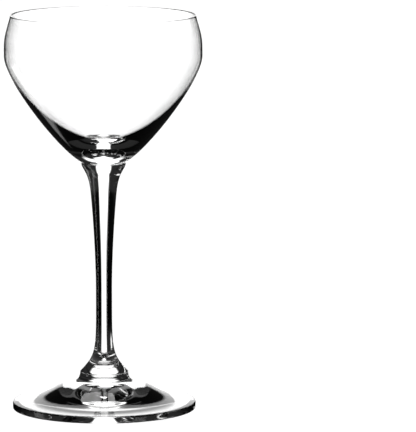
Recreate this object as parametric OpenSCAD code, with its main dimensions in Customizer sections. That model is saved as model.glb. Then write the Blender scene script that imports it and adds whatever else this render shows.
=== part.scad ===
// Nick and nora glass: a small stemmed cocktail glass in clear glass.
// Three pieces are fused hot, end to end: a blown bowl with a solid cone under
// its hollow, a drawn stem with a flare at each end, and a pressed round foot.
// Millimetres, +Z up. The origin is on the table, under the middle of the foot.

/* [Bowl] */
// Height of the bowl, from its joint with the stem to the lip
bowl_h = 57.6; // [52:0.2:66]
// Outer radius at the belly, the widest place
belly_r = 38.6; // [35:0.1:41]
// Height of the belly above the joint
belly_h = 42; // [36:0.1:44]
// Outer radius at the lip
lip_r = 36.2; // [33:0.1:37]
// Thickness of the drawn wall, from the belly to the lip
wall = 0.7; // [0.5:0.05:1.2]
// Solid glass between the joint and the lowest point of the hollow
base_t = 5.3; // [4.5:0.1:7]
// Angle of the outside to the upright where it leaves the joint, in degrees
base_lean = 62; // [50:1:66]
// Angle to the upright at which the wall turns in at the lip, in degrees
lip_lean = 16; // [8:1:20]

/* [Stem] */
// Length of the stem between its two fused joints
stem_l = 82.1; // [70:0.1:95]
// Radius of the joint with the bowl
top_joint_r = 8.7; // [7.5:0.1:9.5]
// Depth of the flare under the bowl
top_flare_h = 11.9; // [9:0.1:16]
// Radius where that flare runs out into the taper
neck_r = 5.05; // [4.4:0.05:6]
// Radius at the waist, the thinnest place
waist_r = 3.15; // [2.6:0.05:3.8]
// Height of the waist above the joint with the foot
waist_h = 32.4; // [26:0.2:38]
// Radius of the joint with the foot
low_joint_r = 9.4; // [8.4:0.1:11]

/* [Foot] */
// Height of the foot, from the table to its joint with the stem
foot_h = 14.3; // [12:0.1:17]
// Outer radius of the foot
foot_r = 35.8; // [32:0.1:40]
// Height of the upright band round the edge of the foot
edge_h = 2.8; // [2.2:0.1:3.6]
// Radius of the rounding along both corners of that band
edge_round = 0.6; // [0.3:0.05:0.9]
// Radius of the low collar round the hub, where the top turns down into the plate
collar_r = 17.9; // [16.5:0.1:19]
// Height of the collar's edge above the table
collar_h = 8.6; // [8:0.1:9.2]
// Angle of the top of the foot to the table near its edge, in degrees
slope_angle = 9; // [7:1:13]
// Distance from the edge of the foot to the inside of its resting ring
ring_w = 2.8; // [2:0.1:4]
// Depth of the hollow under the foot at its middle
hollow_h = 5.9; // [4.8:0.1:6.4]

/* [Joints] */
// Rounding left on each piece where two fused pieces meet
seam_round = 0.25; // [0.15:0.05:0.4]

/* [Hidden] */
$fn = 64;

// Points along each long curve, and along each small rounding
curve_steps = 18;
round_steps = 6;

// Where the joints, the belly and the lip stand above the table
low_joint_z = foot_h;
top_joint_z = low_joint_z + stem_l;
belly_z = top_joint_z + belly_h;
lip_z = top_joint_z + bowl_h;
waist_z = low_joint_z + waist_h;
neck_z = top_joint_z - top_flare_h;
hollow_z = top_joint_z + base_t;

// How far each curve runs straight on before it bends: shares of its chord
cone_start_share = 0.19;
cone_end_share = 0.19;
lip_start_share = 0.46;
lip_end_share = 0.57;
bottom_start_share = 0.34;
bottom_end_share = 0.18;
flare_start_share = 0.24;
flare_end_share = 0.7;
taper_start_share = 0.4;
taper_end_share = 0.2;
skirt_start_share = 0.74;
skirt_end_share = 0.29;
hub_share = 0.44;
collar_share = 0.6;
plate_start_share = 0.49;
plate_end_share = 0.56;
arch_start_share = 0.26;
arch_end_share = 0.09;

// Angles of the stem to the upright, and of the foot's hub, collar and arch to the table
stem_top_lean = 10;
neck_lean = 5.3;
skirt_lean = 44;
hub_angle = 84;
collar_angle = 27;
arch_angle = 6.5;

// Centre of the rounding along the upper corner of the foot's edge, and where it starts
edge_centre = [foot_r - edge_round, edge_h - edge_round];
edge_top = step(edge_centre, 90 - slope_angle, edge_round);

// Point at a distance from another, in a direction given in degrees
function step(p, dir, dist) = p + dist * [cos(dir), sin(dir)];

// Every stretch below leaves out its first point, which ends the stretch before it.

// Smooth curve from a to d that leaves towards b and arrives from c
function curve(a, b, c, d) = [
    for (i = [1 : curve_steps])
        let (t = i / curve_steps, s = 1 - t)
            pow(s, 3) * a + 3 * s * s * t * b + 3 * s * t * t * c + pow(t, 3) * d
];

// Curve from a to d: each end runs along its own direction for a share of the chord
function blend(a, dir_a, share_a, d, dir_d, share_d) =
    let (chord = norm(d - a))
        curve(a, step(a, dir_a, share_a * chord), step(d, dir_d, share_d * chord), d);

// Round stretch about a centre, from one direction to another in degrees
function arc(centre, r, from, to) = [
    for (i = [1 : round_steps])
        step(centre, from + (to - from) * i / round_steps, r)
];

// Outside of the bowl, from the axis at its seam up over the belly to the lip
function bowl_outside() = concat(
    [[0, top_joint_z], [top_joint_r - seam_round, top_joint_z]],
    arc([top_joint_r - seam_round, top_joint_z + seam_round], seam_round, -90, 0),
    blend([top_joint_r, top_joint_z + seam_round], 90 - base_lean, cone_start_share,
          [belly_r, belly_z], -90, cone_end_share),
    blend([belly_r, belly_z], 90, lip_start_share,
          [lip_r, lip_z - wall / 2], lip_lean - 90, lip_end_share)
);

// Fire-polished lip, a half circle over the wall
function bowl_lip() = arc([lip_r - wall / 2, lip_z - wall / 2], wall / 2, 0, 180);

// Inside of the bowl, from the lip down the wall to the round bottom of the hollow
function bowl_inside() = concat(
    blend([lip_r - wall, lip_z - wall / 2], lip_lean - 90, lip_end_share,
          [belly_r - wall, belly_z], 90, lip_start_share),
    blend([belly_r - wall, belly_z], -90, bottom_end_share,
          [0, hollow_z], 0, bottom_start_share)
);

// Lower end of the stem, a flat disc out to its rounded corner
function stem_low_end() = concat(
    [[0, low_joint_z], [low_joint_r - seam_round, low_joint_z]],
    arc([low_joint_r - seam_round, low_joint_z + seam_round], seam_round, -90, 0)
);

// Side of the stem, from its skirt over the waist and the neck to the upper flare
function stem_side() = concat(
    blend([low_joint_r, low_joint_z + seam_round], 90 + skirt_lean, skirt_end_share,
          [waist_r, waist_z], -90, skirt_start_share),
    blend([waist_r, waist_z], 90, taper_end_share,
          [neck_r, neck_z], -90 - neck_lean, taper_start_share),
    blend([neck_r, neck_z], 90 - neck_lean, flare_end_share,
          [top_joint_r, top_joint_z - seam_round], -90 - stem_top_lean, flare_start_share)
);

// Upper end of the stem, the disc that meets the bowl
function stem_top_end() = concat(
    arc([top_joint_r - seam_round, top_joint_z - seam_round], seam_round, 0, 90),
    [[0, top_joint_z]]
);

// Top of the foot: a flat disc under the stem, the hub, its low collar and the plate
function foot_top() = concat(
    [[0, low_joint_z], [low_joint_r - seam_round, low_joint_z]],
    arc([low_joint_r - seam_round, low_joint_z - seam_round], seam_round, 90, 0),
    blend([low_joint_r, low_joint_z - seam_round], -hub_angle, hub_share,
          [collar_r, collar_h], 180 - collar_angle, collar_share),
    blend([collar_r, collar_h], -collar_angle, plate_start_share,
          edge_top, 180 - slope_angle, plate_end_share)
);

// Upright edge of the foot, with both corners rounded
function foot_edge() = concat(
    arc(edge_centre, edge_round, 90 - slope_angle, 0),
    [[foot_r, edge_round]],
    arc([foot_r - edge_round, edge_round], edge_round, 0, -90)
);

// Underside: the flat resting ring, then an arch that follows the plate in to the middle
function foot_under() = concat(
    [[foot_r - ring_w, 0]],
    blend([foot_r - ring_w, 0], 180 - arch_angle, arch_start_share,
          [0, hollow_h], 0, arch_end_share)
);

module bowl() {
    color("aliceblue", 0.4)
        rotate_extrude()
            polygon(concat(bowl_outside(), bowl_lip(), bowl_inside()));
}

module stem() {
    color("aliceblue", 0.4)
        rotate_extrude()
            polygon(concat(stem_low_end(), stem_side(), stem_top_end()));
}

module foot() {
    color("aliceblue", 0.4)
        rotate_extrude()
            polygon(concat(foot_top(), foot_edge(), foot_under()));
}

bowl();
stem();
foot();
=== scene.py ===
import logging
import math
from collections.abc import Sequence
from dataclasses import dataclass
from enum import Enum

import bmesh
import bpy
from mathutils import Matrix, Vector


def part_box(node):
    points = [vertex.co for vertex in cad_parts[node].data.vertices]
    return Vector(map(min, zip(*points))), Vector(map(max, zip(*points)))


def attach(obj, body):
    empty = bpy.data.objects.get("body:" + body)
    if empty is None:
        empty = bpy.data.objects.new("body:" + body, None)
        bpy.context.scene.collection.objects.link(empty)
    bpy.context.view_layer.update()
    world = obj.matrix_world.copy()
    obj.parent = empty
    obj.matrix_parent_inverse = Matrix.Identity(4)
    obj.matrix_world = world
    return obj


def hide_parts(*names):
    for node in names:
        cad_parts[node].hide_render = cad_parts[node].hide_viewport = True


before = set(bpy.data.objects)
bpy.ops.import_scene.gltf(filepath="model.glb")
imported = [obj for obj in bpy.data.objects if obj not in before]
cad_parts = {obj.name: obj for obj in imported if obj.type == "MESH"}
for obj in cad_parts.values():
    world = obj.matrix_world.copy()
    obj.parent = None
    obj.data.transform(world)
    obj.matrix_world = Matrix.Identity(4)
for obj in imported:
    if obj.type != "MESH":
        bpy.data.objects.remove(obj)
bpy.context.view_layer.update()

LOG = logging.getLogger("nick_and_nora_glass")
MM = 0.001
WELD = 1e-7
SHARP_CORNER = math.radians(30)
CURVE_STEPS = 56
ROUND_STEPS = 8
TABLE_SIDES = 96
HALF_TURN = 180

Point = tuple[float, float]


class Turn(Enum):
    """How many segments a piece is spun in, by how wide it is."""

    SLENDER = 160
    WIDE = 256


class FaceKind(Enum):
    """Which of a piece's two finishes a face takes."""

    GLASS = 0
    FUSED = 1


@dataclass(frozen=True)
class Bend:
    """One end of a smooth stretch of an outline.

    Attributes:
        angle: direction in which the stretch leaves that end, in degrees from straight outwards.
        share: how far it runs straight on before it bends, as a share of the chord.
    """

    angle: float
    share: float


def step(start: Point, angle: float, dist: float) -> Point:
    """Point at a distance from another.

    Args:
        start: radius and height to start from.
        angle: direction in degrees, counted from straight outwards.
        dist: how far to go.

    Returns:
        The radius and height reached.
    """
    turn = math.radians(angle)
    return start[0] + dist * math.cos(turn), start[1] + dist * math.sin(turn)


def blend(start: Point, leave: Bend, end: Point, arrive: Bend) -> list[Point]:
    """Smooth stretch of an outline between two points, without the first.

    Args:
        start: where the stretch starts.
        leave: how it leaves its start.
        end: where it ends.
        arrive: how it would leave its end, if it were walked backwards.

    Returns:
        The points of the stretch after its start.
    """
    chord = math.dist(start, end)
    guides = (
        start,
        step(start, leave.angle, leave.share * chord),
        step(end, arrive.angle, arrive.share * chord),
        end,
    )
    points = []
    for i in range(1, CURVE_STEPS + 1):
        t = i / CURVE_STEPS
        s = 1 - t
        weights = (s ** 3, 3 * s * s * t, 3 * s * t * t, t ** 3)
        radius, height = (
            sum(weight * guide[k] for weight, guide in zip(weights, guides)) for k in range(2)
        )
        points.append((radius, height))
    return points


def arc(centre: Point, radius: float, start: float, end: float) -> list[Point]:
    """Round stretch of an outline, without its first point.

    Args:
        centre: radius and height of its centre.
        radius: how tight it is.
        start: direction of its first point from the centre, in degrees.
        end: direction of its last point from the centre, in degrees.

    Returns:
        The points of the stretch after the first.
    """
    span = end - start
    return [step(centre, start + span * i / ROUND_STEPS, radius) for i in range(1, ROUND_STEPS + 1)]


@dataclass(frozen=True)
class ClearGlass:
    """Clear fire-polished glass, with the faint waves that drawing it leaves.

    Attributes:
        name: name of the material.
        ior: how strongly it bends light.
        wave_size: width of the waves in the surface, in metres.
        wave_depth: how deep the waves are, in metres.
        shade: how much of the lamps' light each surface holds back from the table.
    """

    name: str
    ior: float = 1.5
    wave_size: float = 0.012
    wave_depth: float = 2e-6
    shade: float = 0.12

    def make(self) -> bpy.types.Material:
        """Builds the material.

        Returns:
            The material, ready to be put on a piece.
        """
        material = bpy.data.materials.new(self.name)
        material.use_nodes = True
        tree = material.node_tree
        tree.nodes.clear()
        output = tree.nodes.new("ShaderNodeOutputMaterial")
        glass = tree.nodes.new("ShaderNodeBsdfPrincipled")
        glass.inputs["Base Color"].default_value = (1, 1, 1, 1)
        glass.inputs["Roughness"].default_value = 0
        glass.inputs["IOR"].default_value = self.ior
        glass.inputs["Transmission Weight"].default_value = 1
        self.add_waves(tree, glass)
        through = tree.nodes.new("ShaderNodeBsdfTransparent")
        through.inputs["Color"].default_value = (1 - self.shade,) * 3 + (1,)
        path = tree.nodes.new("ShaderNodeLightPath")
        mix = tree.nodes.new("ShaderNodeMixShader")
        tree.links.new(path.outputs["Is Shadow Ray"], mix.inputs[0])
        tree.links.new(glass.outputs[0], mix.inputs[1])
        tree.links.new(through.outputs[0], mix.inputs[2])
        tree.links.new(mix.outputs[0], output.inputs["Surface"])
        return material

    def add_waves(self, tree: bpy.types.NodeTree, glass: bpy.types.Node) -> None:
        """Adds the faint waves to the surface.

        Args:
            tree: the material's node tree.
            glass: the shader whose surface gets them.
        """
        place = tree.nodes.new("ShaderNodeTexCoord")
        noise = tree.nodes.new("ShaderNodeTexNoise")
        noise.inputs["Scale"].default_value = 1 / self.wave_size
        noise.inputs["Detail"].default_value = 1
        bump = tree.nodes.new("ShaderNodeBump")
        bump.inputs["Distance"].default_value = self.wave_depth
        tree.links.new(place.outputs["Object"], noise.inputs["Vector"])
        tree.links.new(noise.outputs["Fac"], bump.inputs["Height"])
        tree.links.new(bump.outputs["Normal"], glass.inputs["Normal"])


@dataclass(frozen=True)
class FusedSeam:
    """Face inside the glass where two pieces are melted into one, so nothing shows there."""

    name: str = "fused_seam"

    def make(self) -> bpy.types.Material:
        """Builds the material.

        Returns:
            A material that lets everything straight through.
        """
        material = bpy.data.materials.new(self.name)
        material.use_nodes = True
        tree = material.node_tree
        tree.nodes.clear()
        output = tree.nodes.new("ShaderNodeOutputMaterial")
        through = tree.nodes.new("ShaderNodeBsdfTransparent")
        tree.links.new(through.outputs[0], output.inputs["Surface"])
        return material


@dataclass
class GlassPiece:
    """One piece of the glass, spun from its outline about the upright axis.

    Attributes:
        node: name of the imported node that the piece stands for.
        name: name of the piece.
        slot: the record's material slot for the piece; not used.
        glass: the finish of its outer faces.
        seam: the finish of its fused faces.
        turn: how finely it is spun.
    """

    node: str
    name: str
    slot: str
    glass: bpy.types.Material
    seam: bpy.types.Material
    turn: Turn = Turn.WIDE

    def outline(self) -> list[Point]:
        """Outline of the piece, as radius and height from axis to axis."""
        raise NotImplementedError

    def seam_heights(self) -> Sequence[float]:
        """Heights of the piece's fused faces."""
        return ()

    def build(self) -> bpy.types.Object:
        """Spins the outline into a closed piece, dresses it and tells the frame about it.

        Returns:
            The finished piece.
        """
        mesh = bpy.data.meshes.new(self.name)
        bm = bmesh.new()
        rim = [bm.verts.new((radius, 0, height)) for radius, height in self.outline()]
        edges = [bm.edges.new(pair) for pair in zip(rim, rim[1:])]
        bmesh.ops.spin(
            bm, geom=rim + edges, cent=(0, 0, 0), axis=(0, 0, 1), dvec=(0, 0, 0),
            angle=math.tau, steps=self.turn.value, use_merge=True, use_duplicate=False,
        )
        bmesh.ops.remove_doubles(bm, verts=bm.verts, dist=WELD)
        bmesh.ops.recalc_face_normals(bm, faces=bm.faces)
        heights = self.seam_heights()
        for face in bm.faces:
            face.smooth = True
            face.material_index = self.kind_of(face, heights).value
        bm.to_mesh(mesh)
        bm.free()
        mesh.set_sharp_from_angle(angle=SHARP_CORNER)
        mesh.materials.append(self.glass)
        mesh.materials.append(self.seam)
        piece = bpy.data.objects.new(self.name, mesh)
        bpy.context.scene.collection.objects.link(piece)
        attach(piece, "root")
        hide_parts(self.node)
        return piece

    @staticmethod
    def kind_of(face: bmesh.types.BMFace, heights: Sequence[float]) -> FaceKind:
        """Tells which finish a face takes.

        Args:
            face: a face of the piece.
            heights: heights of the piece's fused faces.

        Returns:
            FUSED on a flat face at one of the joints, and GLASS elsewhere.
        """
        flat = (all(abs(vert.co.z - height) < WELD for vert in face.verts) for height in heights)
        return FaceKind.FUSED if any(flat) else FaceKind.GLASS


@dataclass
class Bowl(GlassPiece):
    """Blown bowl with a solid cone of glass under its hollow. Lengths are in metres.

    Attributes:
        joint_r: radius of the joint with the stem.
        belly_r: outer radius at the belly.
        belly_h: height of the belly above the joint.
        lip_r: outer radius at the lip.
        wall: thickness of the wall from the belly up.
        base_t: solid glass between the joint and the hollow.
        seam_round: rounding at the joint.
        cone_start: how the outside leaves the joint.
        cone_end: how it arrives at the belly.
        wall_start: how the wall leaves the belly.
        wall_end: how it arrives at the lip.
        hollow_start: how the hollow leaves the belly.
        hollow_end: how it arrives at its lowest point.
    """

    joint_r: float = 8.7 * MM
    belly_r: float = 38.6 * MM
    belly_h: float = 42 * MM
    lip_r: float = 36.2 * MM
    wall: float = 0.7 * MM
    base_t: float = 5.3 * MM
    seam_round: float = 0.25 * MM
    cone_start: Bend = Bend(28, 0.19)
    cone_end: Bend = Bend(-90, 0.19)
    wall_start: Bend = Bend(90, 0.46)
    wall_end: Bend = Bend(-74, 0.57)
    hollow_start: Bend = Bend(-90, 0.18)
    hollow_end: Bend = Bend(0, 0.34)

    def seam_heights(self) -> Sequence[float]:
        """Height of the joint with the stem."""
        return (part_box(self.node)[0][2],)

    def outline(self) -> list[Point]:
        """Outline of the bowl: up the outside, over the lip and down the hollow.

        Returns:
            Points from the middle of the joint to the lowest point of the hollow.
        """
        low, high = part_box(self.node)
        joint_z, lip_z = low[2], high[2]
        belly_z = joint_z + self.belly_h
        lip_mid = (self.lip_r - self.wall / 2, lip_z - self.wall / 2)
        corner = (self.joint_r - self.seam_round, joint_z)
        belly = (self.belly_r, belly_z)
        inner_belly = (self.belly_r - self.wall, belly_z)
        bottom = (0.0, joint_z + self.base_t)
        points = [(0.0, joint_z), corner]
        points += arc(step(corner, 90, self.seam_round), self.seam_round, -90, 0)
        points += blend(points[-1], self.cone_start, belly, self.cone_end)
        points += blend(belly, self.wall_start, step(lip_mid, 0, self.wall / 2), self.wall_end)
        points += arc(lip_mid, self.wall / 2, 0, 180)
        points += blend(points[-1], self.wall_end, inner_belly, self.wall_start)
        points += blend(inner_belly, self.hollow_start, bottom, self.hollow_end)
        return points


@dataclass
class Stem(GlassPiece):
    """Drawn stem with a flare at each end. Lengths are in metres.

    Attributes:
        top_joint_r: radius of the joint with the bowl.
        top_flare_h: depth of the flare under the bowl.
        neck_r: radius where that flare runs out.
        waist_r: radius at the thinnest place.
        waist_h: height of the waist above the foot.
        low_joint_r: radius of the joint with the foot.
        seam_round: rounding at both joints.
        skirt_start: how the side leaves the joint with the foot.
        skirt_end: how it arrives at the waist.
        taper_start: how it leaves the waist.
        taper_end: how it arrives at the neck.
        flare_start: how it leaves the neck.
        flare_end: how it arrives at the joint with the bowl.
    """

    top_joint_r: float = 8.7 * MM
    top_flare_h: float = 11.9 * MM
    neck_r: float = 5.05 * MM
    waist_r: float = 3.15 * MM
    waist_h: float = 32.4 * MM
    low_joint_r: float = 9.4 * MM
    seam_round: float = 0.25 * MM
    skirt_start: Bend = Bend(134, 0.29)
    skirt_end: Bend = Bend(-90, 0.74)
    taper_start: Bend = Bend(90, 0.2)
    taper_end: Bend = Bend(-95.3, 0.4)
    flare_start: Bend = Bend(84.7, 0.7)
    flare_end: Bend = Bend(-100, 0.24)

    def seam_heights(self) -> Sequence[float]:
        """Heights of the joints with the foot and with the bowl."""
        return tuple(corner[2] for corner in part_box(self.node))

    def outline(self) -> list[Point]:
        """Outline of the stem, from its flat lower end up the side to its flat top.

        Returns:
            Points from the middle of the lower joint to the middle of the upper one.
        """
        low_z, top_z = self.seam_heights()
        low_corner = (self.low_joint_r - self.seam_round, low_z)
        top_corner = (self.top_joint_r - self.seam_round, top_z - self.seam_round)
        waist = (self.waist_r, low_z + self.waist_h)
        neck = (self.neck_r, top_z - self.top_flare_h)
        flare_top = step(top_corner, 0, self.seam_round)
        points = [(0.0, low_z), low_corner]
        points += arc(step(low_corner, 90, self.seam_round), self.seam_round, -90, 0)
        points += blend(points[-1], self.skirt_start, waist, self.skirt_end)
        points += blend(waist, self.taper_start, neck, self.taper_end)
        points += blend(neck, self.flare_start, flare_top, self.flare_end)
        points += arc(top_corner, self.seam_round, 0, 90)
        points.append((0.0, top_z))
        return points


@dataclass
class Foot(GlassPiece):
    """Pressed round foot with an arch under it. Lengths are in metres.

    Attributes:
        joint_r: radius of the joint with the stem.
        foot_r: outer radius.
        edge_h: height of the upright band round the edge.
        edge_round: rounding of that band's corners.
        collar_r: radius of the low collar round the hub.
        collar_h: height of the collar's edge above the table.
        ring_w: distance from the edge to the inside of the resting ring.
        hollow_h: depth of the arch underneath.
        seam_round: rounding at the joint.
        hub: how the top leaves the joint.
        collar: how it arrives at the collar's edge.
        plate_start: how it leaves the collar's edge.
        plate_end: how it arrives at the edge of the foot.
        arch_start: how the underside leaves the resting ring.
        arch_end: how it arrives at the middle.
    """

    joint_r: float = 9.4 * MM
    foot_r: float = 35.8 * MM
    edge_h: float = 2.8 * MM
    edge_round: float = 0.6 * MM
    collar_r: float = 17.9 * MM
    collar_h: float = 8.6 * MM
    ring_w: float = 2.8 * MM
    hollow_h: float = 5.9 * MM
    seam_round: float = 0.25 * MM
    hub: Bend = Bend(-84, 0.44)
    collar: Bend = Bend(153, 0.6)
    plate_start: Bend = Bend(-27, 0.49)
    plate_end: Bend = Bend(171, 0.56)
    arch_start: Bend = Bend(173.5, 0.26)
    arch_end: Bend = Bend(0, 0.09)

    def seam_heights(self) -> Sequence[float]:
        """Height of the joint with the stem."""
        return (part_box(self.node)[1][2],)

    def outline(self) -> list[Point]:
        """Outline of the foot: out over the top, down the edge and back underneath.

        Returns:
            Points from the middle of the joint to the middle of the arch.
        """
        (joint_z,) = self.seam_heights()
        corner = (self.joint_r - self.seam_round, joint_z)
        edge_top = (self.foot_r - self.edge_round, self.edge_h - self.edge_round)
        edge_low = (self.foot_r - self.edge_round, self.edge_round)
        upright = self.plate_end.angle - 90
        plate_edge = step(edge_top, upright, self.edge_round)
        points = [(0.0, joint_z), corner]
        points += arc(step(corner, -90, self.seam_round), self.seam_round, 90, 0)
        points += blend(points[-1], self.hub, (self.collar_r, self.collar_h), self.collar)
        points += blend(points[-1], self.plate_start, plate_edge, self.plate_end)
        points += arc(edge_top, self.edge_round, upright, 0)
        points.append((self.foot_r, self.edge_round))
        points += arc(edge_low, self.edge_round, 0, -90)
        points.append((self.foot_r - self.ring_w, 0.0))
        points += blend(points[-1], self.arch_start, (0.0, self.hollow_h), self.arch_end)
        return points


@dataclass(frozen=True)
class Camera:
    """The photograph's view. Lengths are in metres.

    Attributes:
        distance: how far in front of the glass it stands.
        height: how high it stands above the table.
        pitch: how far it looks down, in degrees.
        yaw: how far it looks to the right of the glass, in degrees.
        lens: focal length in millimetres.
        sensor: width of the sensor in millimetres.
        near: how close a thing may come and still show.
        far: how far off it may be.
    """

    distance: float = 1.760
    height: float = 0.3245
    pitch: float = 8.055
    yaw: float = 1.32
    lens: float = 380.9
    sensor: float = 36
    near: float = 0.01
    far: float = 100

    def place(self) -> bpy.types.Object:
        """Adds the camera and makes it the scene's own.

        Returns:
            The camera's object.
        """
        data = bpy.data.cameras.new("view")
        data.lens = self.lens
        data.sensor_width = self.sensor
        data.clip_start = self.near
        data.clip_end = self.far
        camera = bpy.data.objects.new("view", data)
        camera.location = (0, -self.distance, self.height)
        camera.rotation_euler = (math.radians(90 - self.pitch), 0, math.radians(-self.yaw))
        bpy.context.scene.collection.objects.link(camera)
        bpy.context.scene.camera = camera
        return camera


class ShaderMath:
    """Small sums in a node tree.

    Args:
        tree: the node tree that gets them.
    """

    def __init__(self, tree: bpy.types.NodeTree) -> None:
        """Keeps the tree."""
        self.tree = tree

    def calc(self, operation: str, *values: float | bpy.types.NodeSocket) -> bpy.types.NodeSocket:
        """Adds one sum.

        Args:
            operation: name of the sum.
            values: its values in order, each a socket or a number.

        Returns:
            The socket that holds the result.
        """
        node = self.tree.nodes.new("ShaderNodeMath")
        node.operation = operation
        for slot, value in zip(node.inputs, values):
            if isinstance(value, (int, float)):
                slot.default_value = value
            else:
                self.tree.links.new(value, slot)
        return node.outputs[0]

    def ramp(self, value: bpy.types.NodeSocket, start: float, end: float) -> bpy.types.NodeSocket:
        """Goes smoothly from 0 to 1 as a value goes from start to end.

        Args:
            value: the socket to read.
            start: where the result is 0.
            end: where the result is 1.

        Returns:
            The socket that holds the result.
        """
        node = self.tree.nodes.new("ShaderNodeMapRange")
        node.interpolation_type = "SMOOTHSTEP"
        node.inputs["From Min"].default_value = start
        node.inputs["From Max"].default_value = end
        self.tree.links.new(value, node.inputs["Value"])
        return node.outputs["Result"]


@dataclass(frozen=True)
class Card:
    """A light card round the glass, by the directions that it fills. Angles are in degrees.

    Attributes:
        turn: where its middle is, counted from straight behind the glass towards its right.
        half: half of its width.
        low: its lower edge, counted from level.
        top: its upper edge.
        level: how bright it is.
        soft: half the width of its blurred edge.
    """

    turn: float
    half: float
    low: float
    top: float
    level: float = 1.5
    soft: float = 1.5


class CardPattern(ShaderMath):
    """Light cards round the glass, drawn by direction.

    The room is dim above and below, and black just under level, so the stem's sides are black.
    """

    ALL_ROUND = 200
    PAST_TOP = 100
    DIM = 0.022
    CARDS = (
        Card(0, 11, -75, 1, soft=2.8),
        Card(0, 13.5, -5, 64, soft=2),
        Card(-90, 8, -75, 6, 1.2, 3),
        Card(-45, 8, -42, -15, 1.2, 3),
        Card(135, 8, -60, -6, 1.2, 3),
        Card(0, ALL_ROUND, -PAST_TOP, -12, DIM, 2),
        Card(0, ALL_ROUND, 0, PAST_TOP, DIM, 2),
    )

    def brightness(self) -> bpy.types.NodeSocket:
        """Brightness of the room in each direction.

        Returns:
            The socket that holds it.
        """
        place = self.tree.nodes.new("ShaderNodeTexCoord")
        split = self.tree.nodes.new("ShaderNodeSeparateXYZ")
        self.tree.links.new(place.outputs["Generated"], split.inputs[0])
        x, y, z = split.outputs
        rise = self.degrees(self.calc("ARCSINE", z))
        turn = self.degrees(self.calc("ARCTAN2", x, y))
        total: float | bpy.types.NodeSocket = 0
        for card in self.CARDS:
            total = self.calc("MAXIMUM", total, self.shown(card, turn, rise))
        return total

    def degrees(self, angle: bpy.types.NodeSocket) -> bpy.types.NodeSocket:
        """Turns an angle into degrees."""
        return self.calc("DEGREES", angle)

    def shown(
        self, card: Card, turn: bpy.types.NodeSocket, rise: bpy.types.NodeSocket
    ) -> bpy.types.NodeSocket:
        """Draws one card.

        Args:
            card: the card to draw.
            turn: socket with the direction round the glass, in degrees.
            rise: socket with the direction above level, in degrees.

        Returns:
            The socket that holds its brightness.
        """
        beside = self.calc("WRAP", self.calc("SUBTRACT", turn, card.turn), HALF_TURN, -HALF_TURN)
        away = self.calc("ABSOLUTE", beside)
        across = self.ramp(away, card.half + card.soft, card.half - card.soft)
        above = self.ramp(rise, card.low - card.soft, card.low + card.soft)
        below = self.ramp(rise, card.top + card.soft, card.top - card.soft)
        area = self.calc("MULTIPLY", across, self.calc("MULTIPLY", above, below))
        return self.calc("MULTIPLY", area, card.level)


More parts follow.
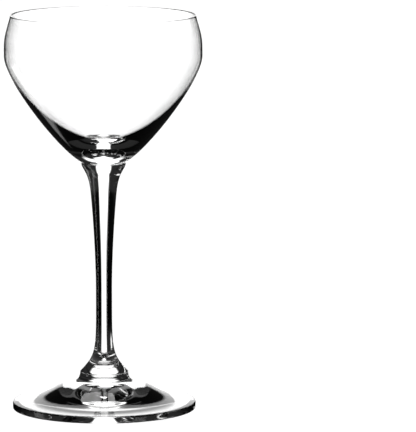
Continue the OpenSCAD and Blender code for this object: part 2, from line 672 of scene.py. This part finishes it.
@dataclass(frozen=True)
class Studio:
    """Table, painted shade ring under the foot, surroundings and lamp. Lengths are in metres.

    Attributes:
        table_r: radius of the white table.
        table_glow: how much white the table shows to the camera without any lamp.
        table_color: how much of the lamp's light it throws back.
        painted_shade_in: radii under the foot between which the painted shade sets in.
        painted_shade_out: radii between which the painted shade fades out again.
        painted_shade_level: how bright the dim glow is that paints the table's shade under the
            foot.
        painted_shade_drop: how far the painted shade ring lies under the foot.
        lamp_power: strength of the overhead lamp.
        lamp_angle: how wide the lamp looks from the glass, in degrees.
        lamp_tilt: how far it leans back and to the left, in degrees.
    """

    table_r: float = 8
    table_glow: float = 0.9
    table_color: float = 0.3
    painted_shade_in: tuple[float, float] = (10 * MM, 21 * MM)
    painted_shade_out: tuple[float, float] = (32 * MM, 23 * MM)
    painted_shade_level: float = 0.1
    painted_shade_drop: float = 0.1 * MM
    lamp_power: float = 1.2
    lamp_angle: float = 40
    lamp_tilt: tuple[float, float] = (-12, -8)

    def build(self) -> None:
        """Adds all of the studio."""
        self.add_table()
        self.add_painted_foot_shade()
        self.add_world()
        self.add_lamp()

    @staticmethod
    def add_disc(
        name: str, radius: float, height: float
    ) -> tuple[bpy.types.Object, bpy.types.NodeTree]:
        """Adds a flat disc of floor with an empty material.

        Args:
            name: name of the disc and of its material.
            radius: its radius.
            height: its height.

        Returns:
            The disc and its material's node tree.
        """
        mesh = bpy.data.meshes.new(name)
        bm = bmesh.new()
        bmesh.ops.create_circle(bm, cap_ends=True, segments=TABLE_SIDES, radius=radius)
        bm.to_mesh(mesh)
        bm.free()
        disc = bpy.data.objects.new(name, mesh)
        disc.location.z = height
        bpy.context.scene.collection.objects.link(disc)
        material = bpy.data.materials.new(name)
        material.use_nodes = True
        material.node_tree.nodes.clear()
        mesh.materials.append(material)
        return disc, material.node_tree

    def add_table(self) -> bpy.types.Object:
        """Adds the white table, which keeps the shadow of the glass.

        Returns:
            The table's object.
        """
        table, tree = self.add_disc("white_table", self.table_r, 0)
        output = tree.nodes.new("ShaderNodeOutputMaterial")
        diffuse = tree.nodes.new("ShaderNodeBsdfDiffuse")
        diffuse.inputs["Color"].default_value = (self.table_color,) * 3 + (1,)
        glow = tree.nodes.new("ShaderNodeEmission")
        path = tree.nodes.new("ShaderNodeLightPath")
        strength = ShaderMath(tree).calc("MULTIPLY", path.outputs["Is Camera Ray"], self.table_glow)
        add = tree.nodes.new("ShaderNodeAddShader")
        tree.links.new(strength, glow.inputs["Strength"])
        tree.links.new(diffuse.outputs[0], add.inputs[0])
        tree.links.new(glow.outputs[0], add.inputs[1])
        tree.links.new(add.outputs[0], output.inputs["Surface"])
        table.visible_transmission = False
        table.visible_glossy = False
        return table

    def add_painted_foot_shade(self) -> bpy.types.Object:
        """Adds a dim glowing ring under the foot, painted shade standing for the table in the
        foot's shade, which only the glass shows.

        Returns:
            The ring's object.
        """
        disc, tree = self.add_disc("painted_foot_shade", self.painted_shade_out[0], -self.painted_shade_drop)
        place = tree.nodes.new("ShaderNodeTexCoord")
        away = tree.nodes.new("ShaderNodeVectorMath")
        away.operation = "LENGTH"
        # Painted shade: a dim glow stands in for the table darkened under the foot.
        glow = tree.nodes.new("ShaderNodeEmission")
        glow.inputs["Strength"].default_value = self.painted_shade_level
        clear = tree.nodes.new("ShaderNodeBsdfTransparent")
        mix = tree.nodes.new("ShaderNodeMixShader")
        output = tree.nodes.new("ShaderNodeOutputMaterial")
        tree.links.new(place.outputs["Object"], away.inputs[0])
        sums = ShaderMath(tree)
        inner, outer = (
            sums.ramp(away.outputs["Value"], *ends) for ends in (self.painted_shade_in, self.painted_shade_out)
        )
        tree.links.new(sums.calc("MULTIPLY", inner, outer), mix.inputs[0])
        tree.links.new(clear.outputs[0], mix.inputs[1])
        tree.links.new(glow.outputs[0], mix.inputs[2])
        tree.links.new(mix.outputs[0], output.inputs["Surface"])
        disc.visible_camera = False
        disc.visible_diffuse = False
        disc.visible_shadow = False
        return disc

    def add_world(self) -> None:
        """Adds a white room for the camera, and light cards in a dark room for the glass."""
        world = bpy.data.worlds.new("studio")
        bpy.context.scene.world = world
        world.use_nodes = True
        tree = world.node_tree
        tree.nodes.clear()
        output = tree.nodes.new("ShaderNodeOutputWorld")
        background = tree.nodes.new("ShaderNodeBackground")
        background.inputs["Color"].default_value = (1, 1, 1, 1)
        path = tree.nodes.new("ShaderNodeLightPath")
        pick = tree.nodes.new("ShaderNodeMix")
        pick.data_type = "FLOAT"
        pick.inputs["B"].default_value = 1
        tree.links.new(path.outputs["Is Camera Ray"], pick.inputs["Factor"])
        tree.links.new(CardPattern(tree).brightness(), pick.inputs["A"])
        tree.links.new(pick.outputs["Result"], background.inputs["Strength"])
        tree.links.new(background.outputs[0], output.inputs["Surface"])

    def add_lamp(self) -> bpy.types.Object:
        """Adds a broad soft lamp overhead.

        Returns:
            The lamp's object.
        """
        data = bpy.data.lights.new("softbox", "SUN")
        data.angle = math.radians(self.lamp_angle)
        data.energy = self.lamp_power
        lamp = bpy.data.objects.new("softbox", data)
        back, left = self.lamp_tilt
        lamp.rotation_euler = (math.radians(back), math.radians(left), 0)
        bpy.context.scene.collection.objects.link(lamp)
        return lamp


def main() -> None:
    """Builds the camera, the three pieces and the studio."""
    logging.basicConfig(level=logging.INFO, format="%(message)s")
    bpy.context.scene.view_settings.view_transform = "Standard"
    Camera().place()
    seam = FusedSeam().make()
    pieces = (
        Bowl("bowl", "blown_bowl", "bowl_glass", ClearGlass("bowl_clear").make(), seam),
        Stem(
            "stem", "drawn_stem", "stem_glass", ClearGlass("stem_clear").make(), seam, Turn.SLENDER
        ),
        Foot("foot", "pressed_foot", "foot_glass", ClearGlass("foot_clear").make(), seam),
    )
    for piece in pieces:
        built = piece.build()
        LOG.info("%s: %d faces", built.name, len(built.data.polygons))
    Studio().build()


if __name__ == "__main__":
    main()
